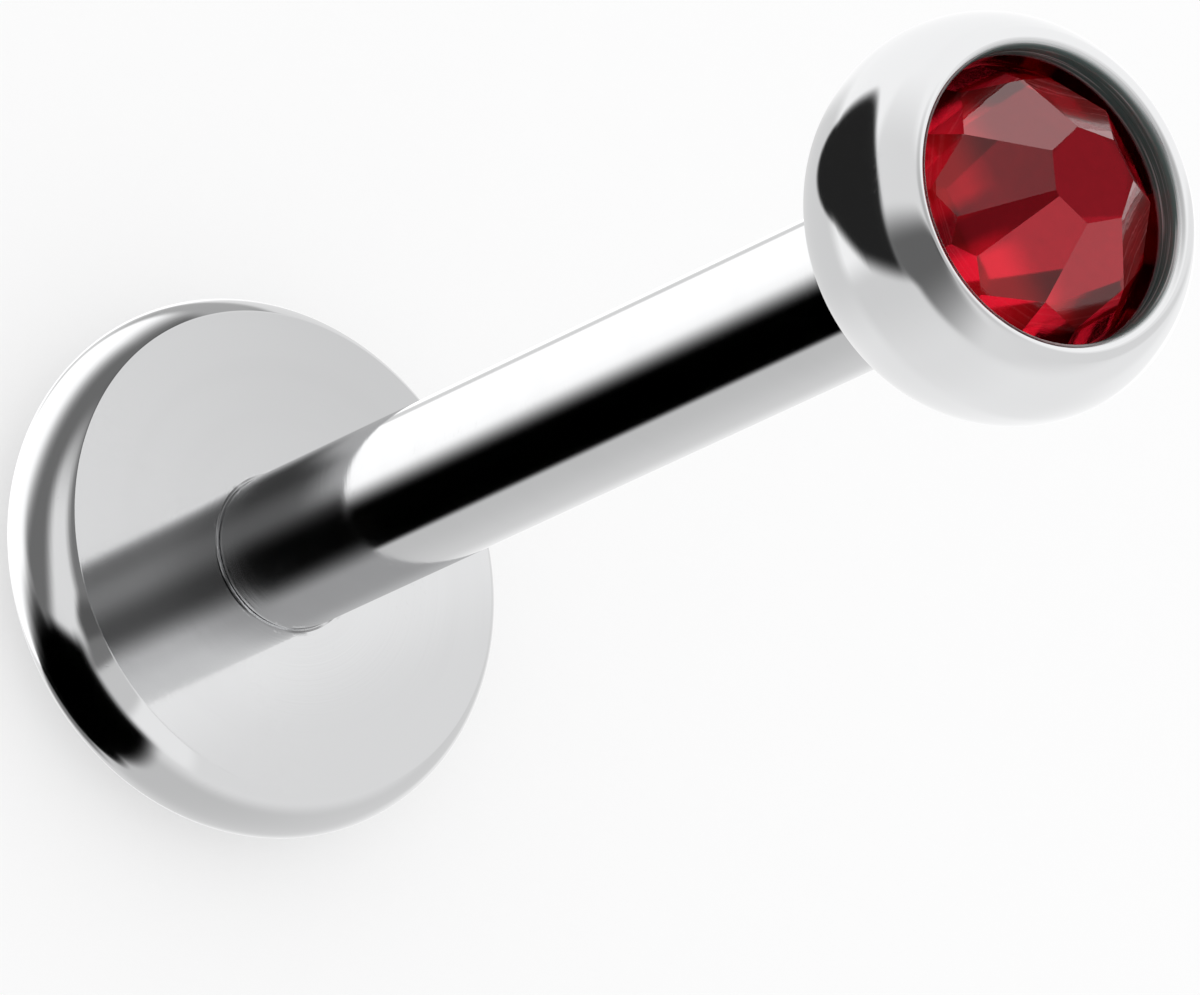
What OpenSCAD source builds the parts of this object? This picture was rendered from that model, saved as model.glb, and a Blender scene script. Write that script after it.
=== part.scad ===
// Labret stud: a round-edged disc, a straight post and a flattened ball that holds a cut stone.
// It stands on its disc with +Z up along the post, and the origin is the middle of the underside.
// Every piece is turned about the Z axis, apart from the stone, whose facets are cut one by one.

/* [Disc] */
// Largest diameter of the disc, at the bulge of its rim
disc_d = 4.15; // [3.9:0.05:6]
// Thickness of the disc, from its underside to its polished face
disc_t = 1.0; // [0.8:0.05:1.2]
// Diameter of the flat polished face
face_d = 3.77; // [3:0.01:3.95]
// Height of the rim's widest point above the underside
rim_h = 0.56; // [0.4:0.01:0.6]
// Metal left under the hole for the post's shank
disc_floor = 0.3; // [0.2:0.05:0.4]

/* [Post] */
// Diameter of the bar that goes through the piercing
post_d = 1.2; // [1:0.1:1.6]
// Length of the bar that shows between the disc and the ball
post_len = 8.1; // [5:0.1:14]
// Diameter of the shank that is pressed into the disc
shank_d = 0.85; // [0.6:0.05:0.9]
// Diameter of the hidden pin that carries the ball
pin_d = 0.8; // [0.6:0.05:0.9]
// Slanted edge at the ends of the bar, the shank and the pin
post_bevel = 0.02; // [0.01:0.005:0.04]

/* [Ball setting] */
// Largest diameter of the flattened ball
ball_d = 3.0; // [2.8:0.05:4]
// Height of the ball, from its underside to the top of its lip
ball_h = 1.64; // [1.4:0.02:2]
// Height of the ball's widest point above its underside
belly_h = 1.0; // [0.8:0.02:1.1]
// Diameter of the flat underside that sits on the bar
seat_d = 1.34; // [1.25:0.01:1.6]
// Radius of the round lip around the stone
lip_r = 0.09; // [0.05:0.01:0.12]
// Diameter of the cup that holds the stone
cup_d = 2.18; // [1.9:0.02:2.3]
// Depth of the cup below the top of the lip
cup_depth = 0.5; // [0.35:0.01:0.6]
// Metal left between the cup and the hole for the pin
cup_floor = 0.3; // [0.2:0.05:0.4]

/* [Stone] */
// Height of the stone, from its flat back to its table
stone_h = 0.92; // [0.7:0.01:1.1]
// Width of the seven-sided table, twice the distance from its middle to a side
table_w = 0.66; // [0.5:0.02:1]
// Height of the plain band around the stone's edge
girdle_h = 0.03; // [0.03:0.01:0.08]
// Height of the line where the main facets meet the break facets, above the flat back
break_h = 0.34; // [0.25:0.01:0.36]
// Width of the ring of break facets, seen from above
break_w = 0.17; // [0.1:0.01:0.2]
// How far the narrow eighth facet cuts in from the table's corner
narrow_cut = 0.012; // [0.004:0.002:0.03]
// How far the narrow facet's lower end lies outside the line of the main facets
narrow_out = 0.015; // [0:0.005:0.03]
// Angle by which the stone is turned in its cup
stone_turn = 40; // [0:1:51]

/* [Fits] */
// Gap around the shank and the pin in their holes
fit_gap = 0.02; // [0.01:0.005:0.04]
// Gap beyond the free end of the shank and of the pin
end_gap = 0.05; // [0.02:0.01:0.1]
// Gap between the bar's shoulders and what they seat on
seat_gap = 0.01; // [0.005:0.005:0.03]
// Gap between the stone and its cup
stone_gap = 0.02; // [0.01:0.005:0.04]

/* [Hidden] */

$fn = 96;
steel = [0.78, 0.79, 0.81];
red_glass = [0.62, 0.04, 0.09];
main_facets = 7;
break_facets = 14;
// The table's corner that the narrow facet cuts, counted round from the first main facet
narrow_corner = 4;

// Heights at which the pieces seat on each other
bar_z = disc_t + seat_gap;
bar_top_z = bar_z + post_len;
ball_z = bar_top_z + seat_gap;
belly_z = ball_z + belly_h;
lip_z = ball_z + ball_h;
cup_z = lip_z - cup_depth;
stone_z = cup_z + stone_gap;

// Free ends of the post, and the ends of the holes that take them
shank_hole_z = disc_floor;
shank_z = shank_hole_z + end_gap;
pin_hole_z = cup_z - cup_floor;
pin_z = pin_hole_z - end_gap;

// Arcs of the sections: the disc's rim, the ball below its widest point and the ball above it
disc_r = disc_d / 2;
ball_r = ball_d / 2;
cup_r = cup_d / 2;
rim_arc_r = arc_radius(disc_r - face_d / 2, disc_t - rim_h);
belly_arc_r = arc_radius(ball_r - seat_d / 2, belly_h);
lip_middle = [cup_r + lip_r, lip_z - lip_r];
dome_arc_r = arc_radius(ball_r - lip_middle.x, lip_middle.y - belly_z, lip_r);

// Rings that the stone's facets run between
stone_r = cup_r - stone_gap;
break_r = stone_r - break_w;
table_corner_r = table_w / 2 / cos(180 / main_facets);
// Longer than any piece, for cuts that run right through
reach = disc_d + ball_d;

// Radius of an arc that leaves a section's widest point straight up and comes in by run over rise,
// where it ends at a point, or touches a round bead that has its middle there
function arc_radius(run, rise, bead_r = 0) =
    (run * run + rise * rise - bead_r * bead_r) / (2 * (run - bead_r));

// Half of a section between two heights, out to an arc that is widest at the height middle_z
module half_section(low, high, widest_r, middle_z, arc_r) {
    intersection() {
        translate([0, low]) square([widest_r, high - low]);
        union() {
            translate([0, low]) square([widest_r - arc_r, high - low]);
            translate([widest_r - arc_r, middle_z]) circle(r = arc_r);
        }
    }
}

// What lies above the round lip: all that is higher than its middle, in from the point where it
// touches the dome's arc
module above_lip() {
    dome_middle = [ball_r - dome_arc_r, belly_z];
    outward = (lip_middle - dome_middle) / norm(lip_middle - dome_middle);
    polygon([
        lip_middle,
        lip_middle + outward * reach,
        [0, lip_middle.y + reach],
        [0, lip_middle.y]
    ]);
}

// Section of the ball with its cup
module ball_section() {
    difference() {
        union() {
            half_section(ball_z, belly_z, ball_r, belly_z, belly_arc_r);
            half_section(belly_z, lip_z, ball_r, belly_z, dome_arc_r);
        }
        above_lip();
        translate([0, cup_z]) square([cup_r, reach]);
    }
    translate(lip_middle) circle(r = lip_r);
}

// A round hole between two heights
module round_hole(d, low, high) {
    translate([0, 0, low]) cylinder(d = d, h = high - low);
}

// One row of facets: cuts away what lies outside planes that run down from an upper to a lower ring
module facet_row(count, turn, upper_r, upper_z, lower_r, lower_z) {
    slant = atan2(upper_z - lower_z, lower_r - upper_r);
    for (i = [0 : count - 1])
        rotate(turn + i * 360 / count)
            translate([lower_r, 0, lower_z])
                rotate([0, slant, 0])
                    translate([-reach / 2, -reach / 2, 0]) cube(reach);
}

module disc() {
    color(steel)
        difference() {
            rotate_extrude() half_section(0, disc_t, disc_r, rim_h, rim_arc_r);
            round_hole(shank_d + 2 * fit_gap, shank_hole_z, disc_t + reach);
        }
}

module post() {
    shank_r = shank_d / 2;
    bar_r = post_d / 2;
    pin_r = pin_d / 2;
    color(steel)
        rotate_extrude()
            polygon([
                [0, shank_z],
                [shank_r - post_bevel, shank_z],
                [shank_r, shank_z + post_bevel],
                [shank_r, bar_z],
                [bar_r - post_bevel, bar_z],
                [bar_r, bar_z + post_bevel],
                [bar_r, bar_top_z - post_bevel],
                [bar_r - post_bevel, bar_top_z],
                [pin_r, bar_top_z],
                [pin_r, pin_z - post_bevel],
                [pin_r - post_bevel, pin_z],
                [0, pin_z]
            ]);
}

module ball_setting() {
    color(steel)
        difference() {
            rotate_extrude() ball_section();
            round_hole(pin_d + 2 * fit_gap, ball_z - reach, pin_hole_z);
        }
}

module stone() {
    color(red_glass)
        translate([0, 0, stone_z])
            rotate(stone_turn)
                difference() {
                    cylinder(r = stone_r, h = stone_h);
                    facet_row(main_facets, 0, table_w / 2, stone_h, break_r, break_h);
                    facet_row(
                        1,
                        (narrow_corner + 0.5) * 360 / main_facets,
                        table_corner_r - narrow_cut,
                        stone_h,
                        break_r + narrow_out,
                        break_h
                    );
                    facet_row(break_facets, 180 / break_facets, break_r, break_h, stone_r, girdle_h);
                }
}

disc();
post();
ball_setting();
stone();
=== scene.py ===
"""Looks of the labret stud: a mirror-polished disc and post, and a flattened ball that holds a red stone.

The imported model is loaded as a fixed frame. Each metal piece is turned again from its section with a fine
mesh, the stone is cut facet by facet, and each gets its finish. The studio has a pale floor, soft light and
the cards that polished metal mirrors. Sizes are in millimetres until a mesh is written, which is in metres.
"""

import logging
import math
from dataclasses import dataclass, field
from enum import Enum
from typing import Any, Iterable, Sequence, Union

import bmesh
import bpy
from mathutils import Matrix, Vector

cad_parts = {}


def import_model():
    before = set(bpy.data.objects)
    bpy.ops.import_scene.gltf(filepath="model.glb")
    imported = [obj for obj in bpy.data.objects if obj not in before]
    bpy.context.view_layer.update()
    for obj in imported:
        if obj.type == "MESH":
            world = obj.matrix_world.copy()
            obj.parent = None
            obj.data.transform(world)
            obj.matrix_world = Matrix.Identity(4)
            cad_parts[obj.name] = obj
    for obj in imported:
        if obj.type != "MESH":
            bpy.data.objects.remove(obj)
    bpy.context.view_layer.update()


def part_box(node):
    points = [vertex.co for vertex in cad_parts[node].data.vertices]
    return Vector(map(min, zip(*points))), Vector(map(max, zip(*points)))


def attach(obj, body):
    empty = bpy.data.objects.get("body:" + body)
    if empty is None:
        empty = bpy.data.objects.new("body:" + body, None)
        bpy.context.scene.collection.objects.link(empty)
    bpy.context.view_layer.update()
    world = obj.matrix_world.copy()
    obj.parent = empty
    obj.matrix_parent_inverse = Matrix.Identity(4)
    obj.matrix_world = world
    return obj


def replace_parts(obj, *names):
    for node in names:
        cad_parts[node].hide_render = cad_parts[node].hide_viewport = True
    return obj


LOG = logging.getLogger("labret_stud")
MM = 0.001
DEGREES = 180.0 / math.pi
BODY = "root"
BLACK = (0.0, 0.0, 0.0, 1.0)
WHITE = (1.0, 1.0, 1.0, 1.0)
# Nearer to the axis than this, in millimetres, a direction round it fades out
AXIS_R = 0.05
# Where the direction of a turned piece's section changes by more than this, its edge stays sharp
SHARP_DEGREES = 24.0
# Points nearer to each other than this, in millimetres, are one point
SAME_POINT = 1e-5
Point = tuple[float, float]
Place = tuple[float, float, float]
Colour = tuple[float, float, float]
Value = Union["Term", float, int, Sequence[float], bpy.types.ID, str, bool]


class Term:
    """What one socket of a node tree gives. Python's operators on it add Math nodes."""

    def __init__(self, net: "Net", socket: bpy.types.NodeSocket) -> None:
        """Keep the tree and the socket."""
        self.net = net
        self.socket = socket

    def _math(self, operation: str, *values: Value) -> "Term":
        """Add one Math node for an operation on these values."""
        return self.net.term("ShaderNodeMath", {"operation": operation}, dict(enumerate(values)))

    def __add__(self, other: Value) -> "Term":
        """Sum."""
        return self._math("ADD", self, other)

    __radd__ = __add__

    def __sub__(self, other: Value) -> "Term":
        """Difference."""
        return self._math("SUBTRACT", self, other)

    def __rsub__(self, other: Value) -> "Term":
        """Difference, with this term on the right."""
        return self._math("SUBTRACT", other, self)

    def __mul__(self, other: Value) -> "Term":
        """Product."""
        return self._math("MULTIPLY", self, other)

    __rmul__ = __mul__

    def __truediv__(self, other: Value) -> "Term":
        """Quotient."""
        return self._math("DIVIDE", self, other)

    def __rtruediv__(self, other: Value) -> "Term":
        """Quotient, with this term below."""
        return self._math("DIVIDE", other, self)

    def __pow__(self, other: Value) -> "Term":
        """Power."""
        return self._math("POWER", self, other)

    def __neg__(self) -> "Term":
        """Negative."""
        return self._math("MULTIPLY", self, -1.0)

    def __abs__(self) -> "Term":
        """Size without its sign."""
        return self._math("ABSOLUTE", self)

    def at_least(self, other: Value) -> "Term":
        """The larger of the two."""
        return self._math("MAXIMUM", self, other)

    def at_most(self, other: Value) -> "Term":
        """The smaller of the two."""
        return self._math("MINIMUM", self, other)

    def above(self, other: Value) -> "Term":
        """1 where this is more than the other, and 0 elsewhere."""
        return self._math("GREATER_THAN", self, other)

    def function(self, name: str, *values: Value) -> "Term":
        """Any other Math operation, such as SINE or FLOOR, with this term first."""
        return self._math(name, self, *values)

    def rise(self, low: Value, high: Value) -> "Term":
        """Climb smoothly from 0 to 1.

        Args:
            low: where the climb starts.
            high: where it ends, which may be below low for a fall.

        Returns:
            The climbing value.
        """
        settings = {"interpolation_type": "SMOOTHSTEP"}
        return self.net.term("ShaderNodeMapRange", settings, {0: self, 1: low, 2: high})

    def toward(self, other: Value, share: Value) -> "Term":
        """Move from this value towards another.

        Args:
            other: the value at a share of 1.
            share: how far to go, from 0 to 1.

        Returns:
            The value in between.
        """
        return self + share * (other - self)


class Net:
    """A node tree that is being built, for a material, for the world or for geometry."""

    def __init__(self, tree: bpy.types.NodeTree) -> None:
        """Take a tree and empty it."""
        self.tree = tree
        tree.nodes.clear()

    def node(
        self,
        kind: str,
        settings: dict[str, Any] | None = None,
        values: dict[int | str, Value] | None = None,
    ) -> bpy.types.Node:
        """Add one node.

        Args:
            kind: the node's type.
            settings: its own settings, which are set first.
            values: what goes into its sockets, by name or number: a term, or a fixed value.

        Returns:
            The node.
        """
        made = self.tree.nodes.new(kind)
        for name, setting in (settings or {}).items():
            setattr(made, name, setting)
        for key, value in (values or {}).items():
            if isinstance(value, Term):
                self.tree.links.new(value.socket, made.inputs[key])
            else:
                made.inputs[key].default_value = value
        return made

    def term(
        self,
        kind: str,
        settings: dict[str, Any] | None = None,
        values: dict[int | str, Value] | None = None,
        output: int | str = 0,
    ) -> Term:
        """Add one node and give one of its outputs.

        Args:
            kind: the node's type.
            settings: its own settings.
            values: what goes into its sockets.
            output: the output's name or number.

        Returns:
            The output as a term.
        """
        return Term(self, self.node(kind, settings, values).outputs[output])

    def vector(self, x: Value, y: Value, z: Value) -> Term:
        """Three values as one vector."""
        return self.term("ShaderNodeCombineXYZ", None, {0: x, 1: y, 2: z})

    def parts(self, vector: Term) -> tuple[Term, Term, Term]:
        """Split a vector.

        Args:
            vector: the vector.

        Returns:
            Its x, y and z.
        """
        made = self.node("ShaderNodeSeparateXYZ", None, {0: vector})
        return Term(self, made.outputs[0]), Term(self, made.outputs[1]), Term(self, made.outputs[2])

    def blend(self, share: Value, first: Value, second: Value) -> Term:
        """Mix two colours.

        Args:
            share: how much of the second colour, from 0 to 1.
            first: the colour at 0.
            second: the colour at 1.

        Returns:
            The mixed colour.
        """
        settings = {"data_type": "RGBA", "clamp_factor": True}
        # Inputs 6 and 7 of a Mix node are its colours, and output 2 is the mixed one
        return self.term("ShaderNodeMix", settings, {0: share, 6: first, 7: second}, 2)

    def millimetres(self) -> tuple[Term, Term, Term]:
        """The place of a point in its object, in millimetres along x, y and z."""
        x, y, z = self.parts(self.term("ShaderNodeTexCoord", None, None, "Object"))
        return x * (1 / MM), y * (1 / MM), z * (1 / MM)

    def polar(self, x: Term, y: Term) -> tuple[Term, Term, Term]:
        """Work out how a place lies round the Z axis.

        Args:
            x: the place along x, in millimetres.
            y: the place along y.

        Returns:
            Its distance from the axis, and the x and y of the direction from the axis to it.
        """
        radius = (x * x + y * y).function("SQRT")
        return radius, x / radius.at_least(AXIS_R), y / radius.at_least(AXIS_R)

    def noise(self, x: Value, y: Value, z: Value, detail: float) -> Term:
        """Make soft noise about 0.5.

        Args:
            x: where in the noise, along x.
            y: the same along y.
            z: the same along z.
            detail: how many finer layers it has.

        Returns:
            The noise.
        """
        values = {"Vector": self.vector(x, y, z), "Scale": 1.0, "Detail": detail}
        return self.term("ShaderNodeTexNoise", None, values)

    def bump(self, height: Term, depth: float) -> Term:
        """Turn a height into a normal, where a height of 1 stands for a depth in millimetres."""
        values = {"Strength": 1.0, "Distance": depth * MM, "Height": height}
        return self.term("ShaderNodeBump", None, values)

    def finish(self, shader: Term) -> None:
        """End a material's tree in its surface."""
        self.node("ShaderNodeOutputMaterial", None, {"Surface": shader})


def new_material(name: str) -> tuple[bpy.types.Material, Net]:
    """Start a material.

    Args:
        name: its name.

    Returns:
        The material, and its empty tree.
    """
    made = bpy.data.materials.new(name)
    made.use_nodes = True
    return made, Net(made.node_tree)


def new_object(name: str, data: bpy.types.ID) -> bpy.types.Object:
    """Put a mesh, a lamp or a camera into the scene.

    Args:
        name: the object's name.
        data: what it shows.

    Returns:
        The object, at the origin.
    """
    made = bpy.data.objects.new(name, data)
    bpy.context.scene.collection.objects.link(made)
    return made


class Wear(Enum):
    """How a steel surface was worked, which decides the way its fine lines run."""

    TURNED = "rings round the axis on a face, a rim or a dome"
    DRAWN = "lines round a bar"


@dataclass(frozen=True)
class SteelFinish:
    """Mirror-polished steel with the faint lines that turning and polishing leave.

    A disc's finish has a seam round the foot of the post, at seam_r on its face at face_z. A ball's has a
    cup of radius cup_r above its floor at cup_z. The cup's upper wall is rougher and darkened with painted
    shade, and its lower wall beside the stone is tinted red, a painted reflection of the stone.
    """

    name: str
    wear: Wear
    tint: Colour = (0.785, 0.788, 0.795)
    # Painted shade: the dark colour of the cup's upper wall, in the gap between the stone and the lip
    wall_shade_tint: Colour = (0.085, 0.135, 0.128)
    # Painted reflection of the red stone on the cup's lower wall
    stone_reflection_tint: Colour = (0.30, 0.012, 0.022)
    roughness: float = 0.075
    line_spacing: float = 0.02
    line_depth: float = 0.00010
    tool_spacing: float = 0.022
    seam_r: float = 0.0
    face_z: float = 0.0
    cup_r: float = 0.0
    cup_z: float = 0.0

    def material(self) -> bpy.types.Material:
        """Build the material.

        Returns:
            The steel.
        """
        steel, net = new_material(self.name)
        x, y, z = net.millimetres()
        radius, round_x, round_y = net.polar(x, y)
        run = z if self.wear is Wear.DRAWN else radius - z
        lines = net.noise(run / self.line_spacing, round_x * 0.6, round_y * 0.6, 2.0)
        bands = net.noise(run * 3.1, round_x * 0.5, round_y * 0.5, 1.0)
        cloud = net.noise(x * 1.3, y * 1.3, z * 1.3, 3.0)
        hair = net.noise((x + z) * 9.0, (y - z) * 140.0, (x - y) * 9.0, 1.0)
        scratch = hair.rise(0.70, 0.78) * cloud.rise(0.48, 0.62)
        rough = self.roughness + (cloud - 0.5) * 0.05 + (lines - 0.5) * 0.03 + scratch * 0.06
        shade = 1.0 - (bands - 0.5).at_least(0.0) * 0.06 - scratch * 0.04
        height = lines - scratch * 0.8
        metal: Value = 1.0
        if self.seam_r > 0:
            patch = net.noise(round_x * 2.1, round_y * 2.1, 4.0, 2.0)
            dash = net.noise(round_x * 7.0, round_y * 7.0, z, 3.0)
            near = abs(z - self.face_z).rise(0.02, 0.01)
            dark_line = abs(radius - self.seam_r).rise(0.012, 0.004) * patch.rise(0.36, 0.56)
            pale_line = abs(radius - self.seam_r - 0.024).rise(0.012, 0.003) * dash.rise(0.50, 0.66)
            shade = shade - near * (dark_line * 0.55 - pale_line * 0.04)
            rough = rough + near * (dark_line * 0.15 + pale_line * 0.22)
            height = height - near * (dark_line * 4.0 - pale_line * 5.0)
        tint = net.blend(shade, BLACK, (*self.tint, 1.0))
        if self.cup_r > 0:
            in_cup = radius.rise(self.cup_r + 0.05, self.cup_r + 0.01)
            in_cup = in_cup * z.rise(self.cup_z - 0.08, self.cup_z - 0.02)
            wall = in_cup * z.rise(self.cup_z + 0.23, self.cup_z + 0.29)
            tool = net.noise(z / self.tool_spacing, round_x * 0.7, round_y * 0.7, 3.0)
            height = height + in_cup * tool * 9.0
            rough = rough + wall * (0.16 + tool * 0.12)
            # Painted shade: the cup's upper wall is darkened, less so along the tool marks
            tint = net.blend(wall * (1.0 - tool.rise(0.52, 0.66) * 0.6), tint, (*self.wall_shade_tint, 1.0))
            # Painted reflection: the cup below the darkened wall takes the red of the stone
            tint = net.blend(in_cup - wall, tint, (*self.stone_reflection_tint, 1.0))
            # Painted shade: the darkened wall also loses most of its metal
            metal = 1.0 - wall * 0.92
        sockets = {
            "Base Color": tint,
            "Metallic": metal,
            "Roughness": rough.at_least(0.02),
            "Normal": net.bump(height, self.line_depth),
        }
        net.finish(net.term("ShaderNodeBsdfPrincipled", None, sockets))
        return steel


@dataclass(frozen=True)
class StoneGlass:
    """Clear deep red glass, darkened near its edge with painted shade, which is weakest at the front."""

    name: str
    core: Colour = (0.60, 0.010, 0.030)
    # The colour of the painted shade near the stone's edge
    rim: Colour = (0.006, 0.0002, 0.0005)
    index: float = 1.56
    stone_r: float = 1.07
    wave_depth: float = 0.0008

    def material(self) -> bpy.types.Material:
        """Build the material.

        Returns:
            The glass.
        """
        glass, net = new_material(self.name)
        x, y, z = net.millimetres()
        radius, round_x, round_y = net.polar(x, y)
        haze = net.noise(x * 2, y * 2, z * 2, 2.0)
        shards = net.noise(round_x * 2.6, round_y * 2.6, 3.0, 1.0)
        # Painted shade: the glass darkens towards its edge, least at the front, with a little random haze
        away = round_y.rise(-0.80, -0.45) * (1.0 - shards.rise(0.54, 0.60) * 0.5)
        outward = (radius / self.stone_r).rise(0.80, 0.92) * (0.15 + away * 0.85) + haze * 0.06
        wave = net.noise(x * 7, y * 7, z * 7, 1.0)
        sockets = {
            "Base Color": net.blend(outward, (*self.core, 1.0), (*self.rim, 1.0)),
            "Roughness": 0.0,
            "Transmission Weight": 1.0,
            "IOR": self.index,
            "Normal": net.bump(wave, self.wave_depth),
        }
        net.finish(net.term("ShaderNodeBsdfPrincipled", None, sockets))
        return glass


@dataclass(frozen=True)
class BackFoil:
    """The thin mirror on the flat back of the stone, with a painted red glow and painted highlights towards
    the front.
    """

    name: str
    tint: Colour = (0.90, 0.84, 0.84)
    roughness: float = 0.05
    # The colour of the foil's painted glow
    glow: Colour = (0.085, 0.003, 0.005)

    def material(self) -> bpy.types.Material:
        """Build the material.

        Returns:
            The mirror.
        """
        foil, net = new_material(self.name)
        foil.cycles.emission_sampling = "NONE"
        x, y, z = net.millimetres()
        grain = net.noise(x * 11, y * 11, z, 3.0)
        # Painted highlights: brighter patches of foil towards the front
        painted_highlight = y.rise(0.05, -0.35) * abs(x + 0.03).rise(0.05, 0.18)
        tint = net.blend(grain, self._times(self.tint, 0.66), self._times(self.tint, 0.54))
        sockets = {
            "Base Color": net.blend(painted_highlight, tint, self._times(self.tint, 1.06)),
            "Metallic": 1.0,
            "Roughness": self.roughness + grain * 0.03,
            # Painted light: the foil glows red, most of all in the painted highlights
            "Emission Color": net.blend(painted_highlight, self._times(self.glow, 0.7), self._times(self.glow, 3.0)),
            "Emission Strength": 1.0,
        }
        net.finish(net.term("ShaderNodeBsdfPrincipled", None, sockets))
        return foil

    def _times(self, colour: Colour, share: float) -> tuple[float, float, float, float]:
        """A colour made darker or lighter, as a node socket takes it."""
        red, green, blue = (level * share for level in colour)
        return red, green, blue, 1.0


def lathe_tree() -> Net:
    """Build the tree that turns a section about the Z axis.

    Its geometry is the section as a chain of points with x as the radius and z as the height. Its inputs are
    the number of segments, the angle from which an edge stays sharp, and the finish.

    Returns:
        The tree.
    """
    tree = bpy.data.node_groups.new("turned_piece", "GeometryNodeTree")
    for label, way, kind in (
        ("Geometry", "INPUT", "NodeSocketGeometry"),
        ("Segments", "INPUT", "NodeSocketInt"),
        ("Sharp angle", "INPUT", "NodeSocketFloat"),
        ("Finish", "INPUT", "NodeSocketMaterial"),
        ("Geometry", "OUTPUT", "NodeSocketGeometry"),
    ):
        tree.interface.new_socket(name=label, in_out=way, socket_type=kind)
    net = Net(tree)
    entry = net.node("NodeGroupInput")
    given = {socket.name: Term(net, socket) for socket in entry.outputs if socket.name}
    count = net.term("GeometryNodeAttributeDomainSize", {"component": "MESH"}, {0: given["Geometry"]})
    size = {"Vertices X": given["Segments"] + 1.0, "Vertices Y": count}
    sheet = net.term("GeometryNodeMeshGrid", None, size)
    index = net.term("GeometryNodeInputIndex")
    along = index.function("MODULO", count)
    around = (index / count).function("FLOOR") / given["Segments"] * math.tau
    section = net.term(
        "GeometryNodeSampleIndex",
        {"data_type": "FLOAT_VECTOR", "domain": "POINT"},
        {0: given["Geometry"], "Value": net.term("GeometryNodeInputPosition"), "Index": along},
    )
    radius, _, height = net.parts(section)
    place = net.vector(radius * around.function("COSINE"), radius * around.function("SINE"), height)
    turned = net.term("GeometryNodeSetPosition", None, {0: sheet, "Position": place})
    closed = net.term("GeometryNodeMergeByDistance", None, {0: turned, "Distance": 2 * SAME_POINT * MM})
    smooth = net.term("GeometryNodeSetShadeSmooth", {"domain": "FACE"}, {0: closed, "Shade Smooth": True})
    angle = net.term("GeometryNodeInputMeshEdgeAngle")
    creased = net.term(
        "GeometryNodeStoreNamedAttribute",
        {"data_type": "BOOLEAN", "domain": "EDGE"},
        {0: smooth, "Name": "sharp_edge", "Value": angle.above(given["Sharp angle"])},
    )
    whole = net.term("GeometryNodeRealizeInstances", None, {0: creased})
    finished = net.term("GeometryNodeSetMaterial", None, {0: whole, "Material": given["Finish"]})
    net.node("NodeGroupOutput", None, {0: finished})
    return net


class Section:
    """Half of a turned shape's section, drawn as a chain of points."""

    def __init__(self, radius: float, height: float) -> None:
        """Start at a point."""
        self.points: list[Point] = [(radius, height)]

    def line(self, *points: Point) -> "Section":
        """Go straight to each point in turn."""
        self.points.extend(points)
        return self

    def arc(self, middle: Point, radius: float, start: float, end: float, step: float = 1.5) -> "Section":
        """Follow an arc.

        Args:
            middle: the arc's middle.
            radius: its radius.
            start: the angle that it starts at, in degrees from straight outward.
            end: the angle that it ends at.
            step: the most that the direction changes between two points, in degrees.

        Returns:
            This section.
        """
        count = max(2, math.ceil(abs(end - start) / step))
        for i in range(count + 1):
            angle = math.radians(start + (end - start) * i / count)
            spot = (middle[0] + radius * math.cos(angle), middle[1] + radius * math.sin(angle))
            if math.dist(spot, self.points[-1]) > SAME_POINT:
                self.points.append(spot)
        return self

    def turned(self, name: str, lathe: Net, segments: int, finish: bpy.types.Material) -> bpy.types.Object:
        """Turn the section about the Z axis.

        Args:
            name: the piece's name.
            lathe: the lathe tree.
            segments: how many segments go round.
            finish: the piece's material.

        Returns:
            The turned piece at the origin, as a plain mesh.
        """
        start = bpy.data.meshes.new(name + "_start")
        points = [Vector((radius * MM, 0.0, height * MM)) for radius, height in self.points]
        start.from_pydata(points, [(i, i + 1) for i in range(len(points) - 1)], [])
        carrier = new_object(name + "_start", start)
        modifier = carrier.modifiers.new("build", "NODES")
        modifier.node_group = lathe.tree
        values = {"Segments": segments, "Sharp angle": math.radians(SHARP_DEGREES), "Finish": finish}
        for item in lathe.tree.interface.items_tree:
            if item.name in values:
                modifier[item.identifier] = values[item.name]
        graph = bpy.context.evaluated_depsgraph_get()
        mesh = bpy.data.meshes.new_from_object(carrier.evaluated_get(graph), depsgraph=graph)
        bpy.data.objects.remove(carrier)
        mesh.name = name
        return new_object(name, mesh)


@dataclass
class Fits:
    """The heights and gaps that the pieces share, in millimetres."""

    seat_gap: float = 0.01
    fit_gap: float = 0.02
    end_gap: float = 0.05
    disc_t: float = 1.0
    post_len: float = 8.1
    ball_h: float = 1.64
    cup_depth: float = 0.5
    cup_floor: float = 0.3
    stone_gap: float = 0.02
    cup_r: float = 1.09
    shank_r: float = 0.425
    pin_r: float = 0.4

    @property
    def bar_z(self) -> float:
        """Lower end of the bar."""
        return self.disc_t + self.seat_gap

    @property
    def bar_top_z(self) -> float:
        """Upper end of the bar."""
        return self.bar_z + self.post_len

    @property
    def ball_z(self) -> float:
        """Underside of the ball."""
        return self.bar_top_z + self.seat_gap

    @property
    def lip_z(self) -> float:
        """Top of the lip."""
        return self.ball_z + self.ball_h

    @property
    def cup_z(self) -> float:
        """Floor of the cup."""
        return self.lip_z - self.cup_depth

    @property
    def pin_hole_z(self) -> float:
        """Top of the hole for the pin."""
        return self.cup_z - self.cup_floor


@dataclass
class Piece:
    """A piece that stands for one node of the frame."""

    node: str
    slot: str
    fits: Fits = field(default_factory=Fits)

    def seat(self, piece: bpy.types.Object) -> bpy.types.Object:
        """Let a finished piece stand for its node and report it.

        Args:
            piece: the piece.

        Returns:
            The piece.
        """
        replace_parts(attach(piece, BODY), self.node)
        low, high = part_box(self.node)
        mine = [vertex.co for vertex in piece.data.vertices]
        off = max(
            abs(pick(point[axis] for point in mine) - corner[axis])
            for pick, corner in ((min, low), (max, high))
            for axis in range(3)
        )
        LOG.info("%s: %d faces, box within %.4f mm", piece.name, len(piece.data.polygons), off / MM)
        return piece


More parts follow.
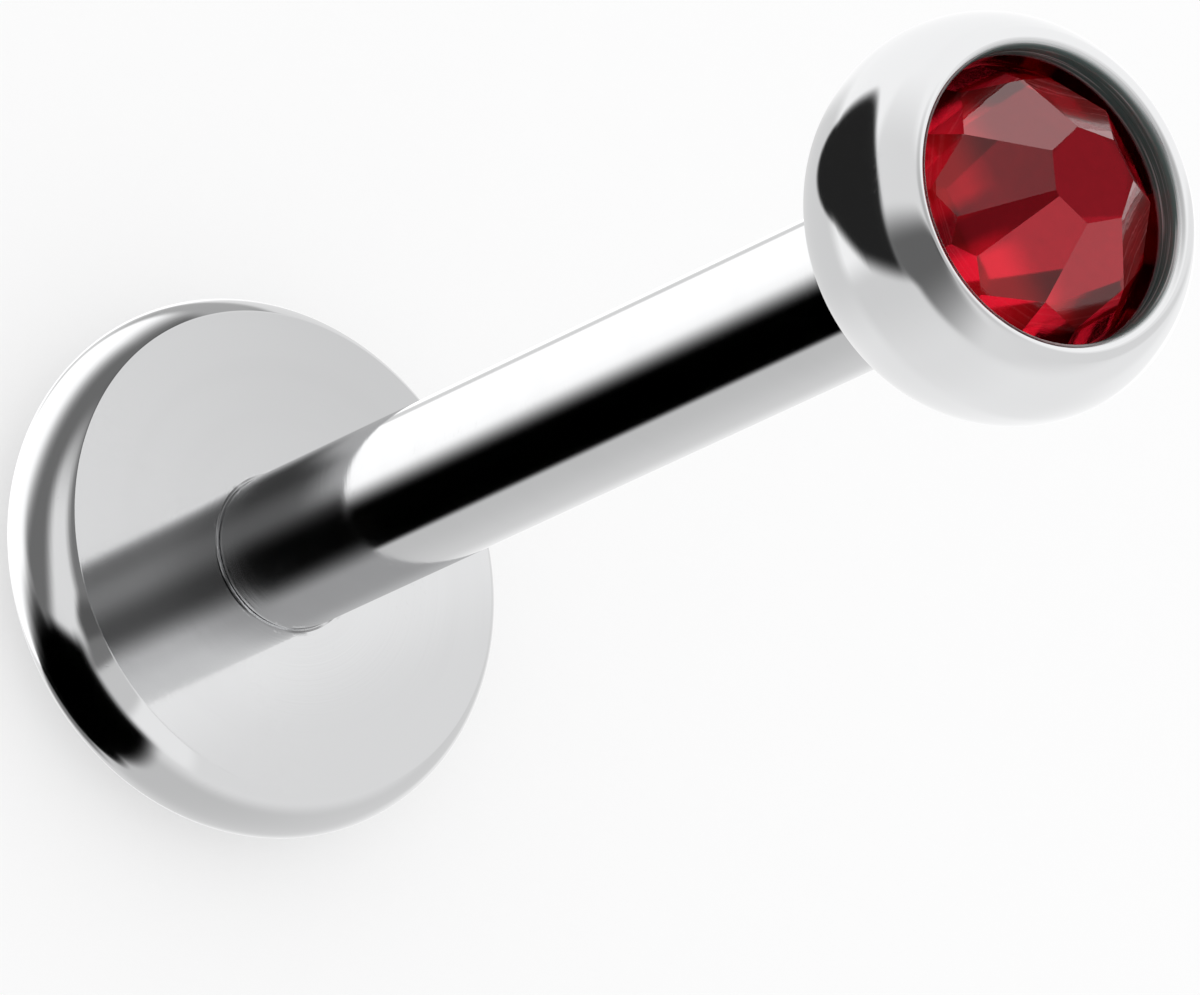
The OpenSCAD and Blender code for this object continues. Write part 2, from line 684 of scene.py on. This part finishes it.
@dataclass
class Disc(Piece):
    """The base plate: flat polished face, bulged rim and a blind hole for the post's shank."""

    node: str = "disc"
    slot: str = "polished_steel"
    disc_r: float = 2.075
    face_r: float = 1.885
    rim_z: float = 0.56
    floor: float = 0.3
    edge_r: float = 0.015
    flat_r: float = 1.2
    seam_r: float = 0.612
    segments: int = 320

    def build(self, lathe: Net) -> bpy.types.Object:
        """Turn the disc, with a hair of rounding where its face meets the rim.

        Args:
            lathe: the lathe tree.

        Returns:
            The disc.
        """
        top = self.fits.disc_t
        rise = top - self.rim_z
        run = self.disc_r - self.face_r
        rim_r = (run * run + rise * rise) / (2 * run)
        middle = (self.disc_r - rim_r, self.rim_z)
        # The small round touches the rim's arc from inside and the flat face from below
        bead_z = top - self.edge_r
        bead_x = middle[0] + math.sqrt((rim_r - self.edge_r) ** 2 - (bead_z - self.rim_z) ** 2)
        lean = math.degrees(math.atan2(bead_z - middle[1], bead_x - middle[0]))
        start = -math.degrees(math.asin(self.rim_z / rim_r))
        hole_r = self.fits.shank_r + self.fits.fit_gap
        section = Section(0.0, 0.0).arc(middle, rim_r, start, lean)
        section.arc((bead_x, bead_z), self.edge_r, lean, 90.0, step=5.0)
        # Two points on the flat face keep the round's shading off it
        section.line((bead_x - 0.01, top), (self.flat_r, top))
        section.line((hole_r, top), (hole_r, self.floor), (0.0, self.floor))
        finish = SteelFinish("disc_steel", Wear.TURNED, seam_r=self.seam_r, face_z=top).material()
        return self.seat(section.turned("disc_plate", lathe, self.segments, finish))


@dataclass
class Post(Piece):
    """The straight bar, with its shank in the disc and its pin in the ball."""

    node: str = "post"
    slot: str = "polished_steel"
    bar_r: float = 0.6
    bevel: float = 0.02
    shank_z: float = 0.35
    segments: int = 192

    def build(self, lathe: Net) -> bpy.types.Object:
        """Turn the post.

        Args:
            lathe: the lathe tree.

        Returns:
            The post.
        """
        fits = self.fits
        low, high = fits.bar_z, fits.bar_top_z
        pin_z = fits.pin_hole_z - fits.end_gap
        section = Section(0.0, self.shank_z)
        section.line((fits.shank_r - self.bevel, self.shank_z), (fits.shank_r, self.shank_z + self.bevel))
        section.line((fits.shank_r, low))
        section.arc((self.bar_r - self.bevel, low + self.bevel), self.bevel, -90.0, 0.0, step=15.0)
        section.line((self.bar_r, low + 2 * self.bevel), (self.bar_r, high - 2 * self.bevel))
        section.arc((self.bar_r - self.bevel, high - self.bevel), self.bevel, 0.0, 90.0, step=15.0)
        section.line((fits.pin_r, high), (fits.pin_r, pin_z - self.bevel), (fits.pin_r - self.bevel, pin_z))
        section.line((0.0, pin_z))
        finish = SteelFinish("post_steel", Wear.DRAWN).material()
        return self.seat(section.turned("post_bar", lathe, self.segments, finish))


@dataclass
class BallSetting(Piece):
    """The flattened ball, with a blind hole for the pin and a cup with a round lip for the stone."""

    node: str = "ball_setting"
    slot: str = "polished_steel"
    ball_r: float = 1.5
    belly_h: float = 1.0
    seat_r: float = 0.67
    lip_r: float = 0.09
    segments: int = 320

    def build(self, lathe: Net) -> bpy.types.Object:
        """Turn the ball.

        Args:
            lathe: the lathe tree.

        Returns:
            The ball.
        """
        fits = self.fits
        belly_z = fits.ball_z + self.belly_h
        run = self.ball_r - self.seat_r
        belly_arc = (run * run + self.belly_h**2) / (2 * run)
        lip = (fits.cup_r + self.lip_r, fits.lip_z - self.lip_r)
        run, rise = self.ball_r - lip[0], lip[1] - belly_z
        dome_arc = (run * run + rise * rise - self.lip_r**2) / (2 * (run - self.lip_r))
        low = -math.degrees(math.asin(self.belly_h / belly_arc))
        touch = math.degrees(math.atan2(lip[1] - belly_z, lip[0] - self.ball_r + dome_arc))
        hole_r = fits.pin_r + fits.fit_gap
        section = Section(0.0, fits.pin_hole_z)
        section.line((hole_r, fits.pin_hole_z), (hole_r, fits.ball_z), (self.seat_r, fits.ball_z))
        section.arc((self.ball_r - belly_arc, belly_z), belly_arc, low, 0.0)
        section.arc((self.ball_r - dome_arc, belly_z), dome_arc, 0.0, touch)
        section.arc(lip, self.lip_r, touch, 180.0, step=6.0)
        section.line((fits.cup_r, lip[1] - 0.01), (fits.cup_r, fits.cup_z), (0.0, fits.cup_z))
        finish = SteelFinish("ball_steel", Wear.TURNED, cup_r=fits.cup_r, cup_z=fits.cup_z).material()
        return self.seat(section.turned("ball_cup", lathe, self.segments, finish))


@dataclass
class Stone(Piece):
    """The flat-backed stone: a table, seven main facets, a narrow one at a corner, and break facets."""

    node: str = "stone"
    slot: str = "red_stone"
    stone_r: float = 1.07
    height: float = 0.92
    table_r: float = 0.33
    break_r: float = 0.90
    break_h: float = 0.34
    girdle_h: float = 0.03
    turn: float = 40.0
    mains: int = 7
    breaks: int = 14
    narrow_corner: int = 4
    narrow_cut: float = 0.012
    narrow_out: float = 0.015
    segments: int = 112

    def facet(self, turn: float, upper: Point, lower: Point) -> tuple[Vector, Vector]:
        """Work out the plane of a facet.

        Args:
            turn: the way that the facet faces round the axis, in degrees from the first main facet.
            upper: distance from the axis and height at the upper end of the facet's middle line.
            lower: the same at its lower end.

        Returns:
            A point on the plane and the way that it faces.
        """
        angle = math.radians(self.turn + turn)
        outward = Vector((math.cos(angle), math.sin(angle), 0.0))
        facing = outward * (upper[1] - lower[1]) + Vector((0.0, 0.0, lower[0] - upper[0]))
        return outward * lower[0] + Vector((0.0, 0.0, lower[1])), facing.normalized()

    def cuts(self) -> list[tuple[Vector, Vector]]:
        """List the planes of all facets.

        Returns:
            A point on each plane and the way that it faces, with heights above the stone's flat back.
        """
        step = 360 / self.mains
        low = (self.break_r, self.break_h)
        planes = [self.facet(i * step, (self.table_r, self.height), low) for i in range(self.mains)]
        corner_r = self.table_r / math.cos(math.pi / self.mains)
        narrow_high = (corner_r - self.narrow_cut, self.height)
        narrow_low = (self.break_r + self.narrow_out, self.break_h)
        planes.append(self.facet((self.narrow_corner + 0.5) * step, narrow_high, narrow_low))
        for i in range(self.breaks):
            turn = (i + 0.5) * 360 / self.breaks
            planes.append(self.facet(turn, low, (self.stone_r, self.girdle_h)))
        return planes

    def build(self) -> bpy.types.Object:
        """Cut the stone out of a short cylinder, plane by plane.

        Returns:
            The stone.
        """
        shape = bmesh.new()
        bmesh.ops.create_cone(
            shape,
            cap_ends=True,
            segments=self.segments,
            radius1=self.stone_r,
            radius2=self.stone_r,
            depth=self.height,
            matrix=Matrix.Translation((0.0, 0.0, self.height / 2)),
        )
        for point, facing in self.cuts():
            whole = [*shape.verts, *shape.edges, *shape.faces]
            done = bmesh.ops.bisect_plane(
                shape, geom=whole, dist=1e-6, plane_co=point, plane_no=facing, clear_outer=True
            )
            rim = [part for part in done["geom_cut"] if isinstance(part, bmesh.types.BMEdge)]
            bmesh.ops.contextual_create(shape, geom=rim)
        bmesh.ops.remove_doubles(shape, verts=shape.verts[:], dist=SAME_POINT)
        bmesh.ops.recalc_face_normals(shape, faces=shape.faces[:])
        base_z = self.fits.cup_z + self.fits.stone_gap
        for face in shape.faces:
            face.smooth = False
            face.material_index = 1 if face.normal.z < -0.5 else 0
        bmesh.ops.transform(
            shape, verts=shape.verts[:], matrix=Matrix.Scale(MM, 4) @ Matrix.Translation((0.0, 0.0, base_z))
        )
        mesh = bpy.data.meshes.new("cut_stone")
        shape.to_mesh(mesh)
        shape.free()
        mesh.materials.append(StoneGlass("stone_glass", stone_r=self.stone_r).material())
        mesh.materials.append(BackFoil("stone_foil").material())
        return self.seat(new_object("cut_stone", mesh))


def light_of(tone: Term, mirrors: float = 0.78) -> Term:
    """Work out the light that shows as a grey tone once polished steel has mirrored it.

    Args:
        tone: the tone, from 0 to 255.
        mirrors: the share of light that the steel on the way gives back.

    Returns:
        The light.
    """
    return (tone.at_least(0.0) / 255.0) ** 2.2 / mirrors


@dataclass
class Card:
    """A paper card that glows for rays which polished steel has mirrored, and is clear for all others.

    It is seen at one bounce of a ray that starts within its reach, in millimetres. Where inside is set, only
    its back glows, which is its inner side.
    """

    name: str
    bounce: int
    reach: float
    inside: bool = False

    def __post_init__(self) -> None:
        """Start the card's material."""
        self.paper, self.net = new_material(self.name)
        self.paper.cycles.emission_sampling = "NONE"

    def seen(self) -> Term:
        """Work out which rays see the card.

        Returns:
            1 for those, and 0 for all others.
        """
        path = self.net.node("ShaderNodeLightPath")
        count = Term(self.net, path.outputs["Ray Depth"])
        seen = count.above(self.bounce - 0.5) * (1.0 - count.above(self.bounce + 0.5))
        # Rays of the stone, which is perfectly smooth, see the room instead
        seen = seen * (1.0 - Term(self.net, path.outputs["Is Singular Ray"]))
        seen = seen * (1.0 - Term(self.net, path.outputs["Ray Length"]).above(self.reach * MM))
        if self.inside:
            seen = seen * self.net.term("ShaderNodeNewGeometry", None, None, "Backfacing")
        if self.inside and self.bounce == 1:
            # A ray that came in through the card started outside it
            seen = seen * (1.0 - Term(self.net, path.outputs["Transparent Depth"]).above(0.5))
        return seen

    def places(self) -> tuple[Term, Term, Term, Term]:
        """Work out where a point of the card lies.

        Returns:
            Its x and z in millimetres, its distance from the axis, and its bearing in degrees.
        """
        x, y, z = self.net.millimetres()
        return x, z, (x * x + y * y).function("SQRT"), x.function("ARCTAN2", -y) * DEGREES

    def shine(self, light: Term) -> bpy.types.Material:
        """Let the card glow where it is seen.

        Args:
            light: the light that it gives.

        Returns:
            The card's finished material.
        """
        glow = self.net.term("ShaderNodeEmission", None, {"Color": light, "Strength": 1.0})
        clear = self.net.term("ShaderNodeBsdfTransparent")
        self.net.finish(self.net.term("ShaderNodeMixShader", None, {0: self.seen(), 1: clear, 2: glow}))
        return self.paper

    def stand(self, card: bpy.types.Object) -> None:
        """Hide the card from all but mirrored rays.

        Args:
            card: the card's object.
        """
        card.visible_camera = False
        card.visible_diffuse = False
        card.visible_transmission = False
        card.visible_shadow = False


@dataclass
class Room:
    """What polished steel and the stone mirror from the room, by bearing and elevation in degrees.

    Bearings run from -180 to 180, with 0 at the front and 90 at the right. Tones run from 0, black, to 255.
    """

    turn: Term
    lift: Term

    def left(self) -> Term:
        """The left side: a white oval below, a grey band round it and a paler room beyond.

        Returns:
            The tone.
        """
        turn, lift = self.turn, self.lift
        oval_x = (turn + 135) / 115
        oval_y = (lift + (-115 - turn).at_least(0.0) * 0.55 + 85) / 95
        oval = (oval_x * oval_x + oval_y * oval_y).function("SQRT")
        tone = 255 - oval.rise(0.69, 0.99) * lift.rise(-54, -36) * 152
        apart = turn.rise(-65, -20) * 0.105
        tone = tone.toward(74 + turn.rise(-115, -45) * 140, oval.rise(apart + 1.07, apart + 1.22))
        tone = tone.toward(210, turn.rise(-146, -153) * lift.rise(-44, -36))
        thin = turn.rise(-152, -146) * turn.rise(-130, -137) * lift.rise(-62, -54)
        return tone.toward(160 + lift.rise(-36, -50) * 40, thin)

    def right(self) -> Term:
        """The right side: an even grey, paler above the horizon.

        Returns:
            The tone.
        """
        turn, lift = self.turn, self.lift
        tone = 184 + turn.rise(60, 130) * 14
        tone = tone + turn.rise(120, 160) * lift.rise(-66, -58) * lift.rise(-30, -38) * 20
        tone = tone * (1.0 - lift.rise(-73, -79) * 0.42)
        tone = tone.toward(213, lift.rise(-15, 8))
        return tone.toward(222, turn.rise(24, 32) * turn.rise(62, 54) * lift.rise(4, 10))

    def black_card(self) -> Term:
        """The black card in front, below the horizon, which widens and bends away as it goes down.

        Returns:
            The share of the direction that it takes up, from 0 to 1.
        """
        turn, lift = self.turn, self.lift
        drop = (-lift).at_least(0.0)
        edge = drop.at_most(25.0) * -0.38 - 3
        wide = lift.rise(-32, -50)
        inner = edge + 5 + wide * 4 + lift.rise(-54, -70) * 11
        far = drop * 0.14 + (-50 - lift).at_least(0.0) * 0.8 + 42
        across = turn.rise(edge - 5 - wide * 31, inner) * (1.0 - turn.rise(far - 6, far + 6))
        return across * lift.rise(17, -2) * (1.0 - lift.rise(-72, -80) * 0.14)

    def above(self) -> Term:
        """The upper room, darkest just left of the camera.

        Returns:
            The tone.
        """
        turn = self.turn
        tone = 112 - turn.rise(-20, -11) * 29 + turn.rise(-3, 1) * 30 + turn.rise(8, 12) * 77
        tone = tone + turn.rise(27, 32) * 36 - turn.rise(55, 62) * 14
        return (tone - turn.rise(-85, -105) * 14).toward(210, turn.rise(-140, -152))

    def tone(self) -> Term:
        """The whole room as polished steel mirrors it.

        Returns:
            The tone.
        """
        turn, lift = self.turn, self.lift
        side = self.left().toward(self.right(), turn.rise(-20, 20))
        behind = 212 + lift.rise(-41, -49) * lift.rise(-65, -57) * 35
        side = side.toward(behind, abs(turn).rise(165, 178)) * (1.0 - self.black_card())
        start = 21 - turn.rise(-21, -7) * 11 - turn.rise(-4, 8) * 7
        return side.toward(self.above(), lift.rise(start, start + 12))

    def stone_mirror(self) -> Term:
        """The light that the stone's facets mirror.

        Returns:
            The light.
        """
        wide = abs(self.turn)
        low = 0.15 + wide.rise(145, 155) * 0.8
        level = 1.1 + wide.rise(28, 50) * 0.9 - self.turn.rise(106, 114) * 1.2
        high = 0.06 + wide.rise(12, 20) * 0.58 - wide.rise(145, 160) * 0.52
        return low.toward(level, self.lift.rise(-18, -13)).toward(high, self.lift.rise(16, 24))

    def stone_sky(self) -> Term:
        """The light that comes up through the stone after it has gone in, by the way that it leaves.

        Returns:
            The light.
        """
        turn, lift = self.turn, self.lift
        wide = abs(turn)
        back = 0.46 - turn.rise(128, 160) * 0.30 + turn.rise(0, -60) * 0.36
        back = back.toward(0.0, wide.rise(168, 176) * lift.rise(46, 48) * lift.rise(66, 60))
        front = 1.8 * lift.rise(15, 22) * wide.rise(75, 45)
        return (back + front).toward(0.38, lift.rise(62, 72)) * lift.rise(-20, 0)


@dataclass
class Collar:
    """What the paper collars round the ball and the post show, by bearing and elevation in degrees."""

    turn: Term

    def ball_paper(self, lift: Term) -> Term:
        """The bare paper round the ball: a wall, paler at the left, above a cone.

        Args:
            lift: the elevation, seen from the middle of the ball.

        Returns:
            The tone.
        """
        turn = self.turn
        left = 238 - lift.rise(-36, -46) * 10
        left = left - turn.rise(-92, -50) * turn.rise(60, 0) * lift.rise(4, 10) * 25
        left = left.toward(200, lift.rise(56, 72))
        right = 201 + turn.rise(6, 42) * 15 + turn.rise(42, 75) * 8
        right = right + turn.rise(95, 130) * lift.rise(0, -10) * 8
        right = right + turn.rise(135, 150) * lift.rise(-18, -24) * 20
        right = right.toward(209, lift.rise(8, 24) * turn.rise(160, 150))
        wall = left.toward(right, turn.rise(-12, 2) * turn.rise(176, 168))
        cone = 235 - turn.rise(-105, -78) * 34 + turn.rise(-6, 30) * 20 + turn.rise(30, 126) * 14
        return cone.toward(wall, lift.rise(-40, -36))

    def ball_patch(self, lift: Term) -> Term:
        """The dark card that shows as a patch on the ball.

        Args:
            lift: the elevation, seen from the middle of the ball.

        Returns:
            The share of the direction that it takes up, from 0 to 1.
        """
        turn = self.turn
        high = (lift + 12).at_least(0.0)
        first = high * high * 0.08 - 77
        last = (lift - (-12 - lift).at_least(0.0)) * 0.46 - 1.0
        aside = (turn + 53) / 22
        base = aside * aside * 4.3 - 42.4
        across = turn.rise(first - 5, first + 5) * turn.rise(last + 6, last - 6)
        return across * lift.rise(base - 0.9, base + 0.9) * lift.rise(16, 9)

    def ball_tone(self, lift: Term) -> Term:
        """The collar round the ball, with its patch and a grey strip above the front.

        Args:
            lift: the elevation, seen from the middle of the ball.

        Returns:
            The tone.
        """
        turn = self.turn
        tone = self.ball_paper(lift).toward(38, self.ball_patch(lift))
        strip = 95 + turn.rise(-8, -28) * 118 + turn.rise(6, 54) * 116
        base = 8 + turn.rise(0, 14) * 5
        near = lift.rise(base, base + 6) * lift.rise(86, 80) * turn.rise(-60, -40) * turn.rise(80, 60)
        return tone.toward(strip, near) * (1.0 - lift.rise(62, 84) * 0.15)

    def foot_tone(self, z: Term) -> Term:
        """The collar round the post: what the post's foot shows below, and the disc's face above.

        Args:
            z: the height in millimetres.

        Returns:
            The tone.
        """
        turn = self.turn
        foot = 150 - turn.rise(-157, -118) * 95 + turn.rise(-100, -54) * 30 - turn.rise(-50, -2) * 80
        foot = foot + turn.rise(17, 66) * 141 + turn.rise(105, 150) * 17 + turn.rise(-164, -178) * 13
        early = turn.rise(-85, -125) * 0.4
        foot = foot.toward(156, z.rise(early + 4.5, early + 3.75) * turn.rise(-25, -60))
        image = 195 - turn.rise(-152, -98) * 98 + turn.rise(-85, -55) * 16 - turn.rise(-48, -6) * 41
        image = image + turn.rise(2, 52) * 103 + turn.rise(50, 90) * 12 + turn.rise(164, 178) * 8
        image = image * (0.8 + z.rise(5.6, 6.6) * 0.2)
        wide = turn / 180
        split = wide * wide * 0.68 + 5.25
        return foot.toward(image, (z - split).rise(-0.08, 0.12))


@dataclass
class Studio:
    """The pale floor, the soft light, the cards that the steel mirrors, and the camera."""

    lens: float = 554.5
    camera_place: Place = (0.6096, -85.1912, 109.9896)
    view_tilt: float = 38.9716
    view_roll: float = 24.7071
    paper: float = 0.96
    floor_r: float = 400.0
    collar_r: float = 4.0
    collar_neck: Point = (0.63, 9.05)
    collar_low: float = 7.1
    collar_top: float = 13.4
    ball_middle: float = 10.1
    foot_low: float = 1.5
    foot_top: float = 9.1
    collar_segments: int = 128
    lamp_place: Place = (-30.0, 20.0, 90.0)
    lamp_d: float = 140.0
    lamp_watts: float = 0.009

    def camera(self) -> None:
        """Place the camera."""
        tilt, roll = math.radians(self.view_tilt), math.radians(self.view_roll)
        back = Vector((0.0, -math.sin(tilt), math.cos(tilt)))
        along = Vector((0.0, math.cos(tilt), math.sin(tilt)))
        across = Vector((-1.0, 0.0, 0.0))
        right = math.cos(roll) * along - math.sin(roll) * across
        up = math.sin(roll) * along + math.cos(roll) * across
        lens = bpy.data.cameras.new("camera")
        lens.sensor_width = 36.0
        lens.lens = self.lens
        lens.clip_start = 0.01
        lens.clip_end = 2.0
        camera = new_object("camera", lens)
        turn = Matrix((right, up, back)).transposed().to_4x4()
        camera.matrix_world = Matrix.Translation(Vector(self.camera_place) * MM) @ turn
        bpy.context.scene.camera = camera

    def world(self) -> None:
        """Light the room: plain white for the floor, and what polished steel and the stone mirror."""
        world = bpy.data.worlds.new("studio")
        bpy.context.scene.world = world
        world.use_nodes = True
        world.cycles.sampling_method = "NONE"
        net = Net(world.node_tree)
        sky = net.term("ShaderNodeTexCoord", None, None, "Generated")
        x, y, z = net.parts(net.term("ShaderNodeVectorMath", {"operation": "NORMALIZE"}, {0: sky}))
        room = Room(x.function("ARCTAN2", -y) * DEGREES, z.function("ARCSINE") * DEGREES)
        path = net.node("ShaderNodeLightPath")
        mirrored = Term(net, path.outputs["Is Glossy Ray"])
        through = Term(net, path.outputs["Is Transmission Ray"])
        clear = Term(net, path.outputs["Is Singular Ray"])
        shine = light_of(room.tone()).toward(room.stone_mirror(), clear)
        light = mirrored * (shine - self.paper) + self.paper
        light = light.toward(room.stone_sky(), through)
        back = net.term("ShaderNodeBackground", None, {"Color": light, "Strength": 1.0})
        net.node("ShaderNodeOutputWorld", None, {"Surface": back})

    def sheet(self, name: str, corners: Sequence[Place], paper: bpy.types.Material) -> bpy.types.Object:
        """Lay or hang a flat sheet.

        Args:
            name: the sheet's name.
            corners: its four corners in turn, in millimetres.
            paper: its material.

        Returns:
            The sheet.
        """
        mesh = bpy.data.meshes.new(name)
        mesh.from_pydata([Vector(corner) * MM for corner in corners], [], [(0, 1, 2, 3)])
        mesh.materials.append(paper)
        return new_object(name, mesh)

    def floor(self) -> None:
        """Lay the pale floor that the stud stands on, which brightens to plain white away from it."""
        paper, net = new_material("pale_floor")
        paper.cycles.emission_sampling = "NONE"
        x, y, _ = net.millimetres()
        fade = (x * x + y * y).function("SQRT").rise(12, 32) * 0.45 + 0.55
        tint = net.blend(net.noise(x * 3, y * 3, 0.0, 4.0), (0.985, 0.985, 0.99, 1.0), WHITE)
        matt = net.term("ShaderNodeBsdfDiffuse", None, {"Color": tint})
        glow = net.term("ShaderNodeEmission", None, {"Color": WHITE, "Strength": self.paper})
        net.finish(net.term("ShaderNodeMixShader", None, {0: fade, 1: matt, 2: glow}))
        far = self.floor_r
        corners = [(-far, -far, 0.0), (far, -far, 0.0), (far, far, 0.0), (-far, far, 0.0)]
        floor = self.sheet("floor", corners, paper)
        floor.visible_glossy = False

    def ball_collar(self, lathe: Net) -> None:
        """Stand a closed paper collar round the ball, with the dark card and strip that the ball mirrors.

        Args:
            lathe: the lathe tree.
        """
        card = Card("ball_collar", bounce=1, reach=6.8, inside=True)
        _, z, radius, turn = card.places()
        lift = (z - self.ball_middle).function("ARCTAN2", radius) * DEGREES
        paper = card.shine(light_of(Collar(turn).ball_tone(lift)))
        section = Section(*self.collar_neck).line((self.collar_r, self.collar_low))
        section.line((self.collar_r, self.collar_top), (0.0, self.collar_top))
        card.stand(section.turned(card.name, lathe, self.collar_segments, paper))

    def foot_collar(self, lathe: Net) -> None:
        """Stand a paper collar round the post, which the post and the disc show to each other.

        Args:
            lathe: the lathe tree.
        """
        card = Card("foot_collar", bounce=2, reach=40.0, inside=True)
        _, z, _, turn = card.places()
        paper = card.shine(light_of(Collar(turn).foot_tone(z), mirrors=0.61))
        # A little wider than the ball's collar, so that the two don't coincide
        radius = self.collar_r + 0.05
        section = Section(radius, self.foot_low).line((radius, self.foot_top))
        card.stand(section.turned(card.name, lathe, self.collar_segments, paper))

    def back_card(self) -> None:
        """Hang a pale card behind the stud, which the disc's face mirrors."""
        card = Card("back_card", bounce=1, reach=60.0)
        x, z, _, _ = card.places()
        tone = (199 + (z - 14) * 3).at_least(200.0).at_most(214.0)
        tone = tone.toward(227, x.rise(-0.1, 0.35)).toward(212, x.rise(0.6, 1.4))
        corners = [(-2.3, 12, 12), (2.3, 12, 12), (2.3, 12, 20), (-2.3, 12, 20)]
        card.stand(self.sheet(card.name, corners, card.shine(light_of(tone))))

    def lamp(self) -> None:
        """Hang one large soft lamp for the stud's shadow on the floor."""
        light = bpy.data.lights.new("soft_lamp", "AREA")
        light.shape = "DISK"
        light.size = self.lamp_d * MM
        light.energy = self.lamp_watts
        lamp = new_object("soft_lamp", light)
        lamp.location = Vector(self.lamp_place) * MM
        lamp.rotation_euler = (-lamp.location).to_track_quat("-Z", "Y").to_euler()
        lamp.visible_glossy = False


def main() -> None:
    """Load the frame, build and dress each piece in order, and set up the studio."""
    logging.basicConfig(level=logging.INFO, format="%(message)s")
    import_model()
    studio = Studio()
    studio.camera()
    lathe = lathe_tree()
    fits = Fits()
    Disc(fits=fits).build(lathe)
    Post(fits=fits).build(lathe)
    BallSetting(fits=fits).build(lathe)
    Stone(fits=fits).build()
    studio.world()
    studio.floor()
    studio.ball_collar(lathe)
    studio.foot_collar(lathe)
    studio.back_card()
    studio.lamp()
    bpy.context.scene.view_settings.view_transform = "Standard"


if __name__ == "__main__":
    main()
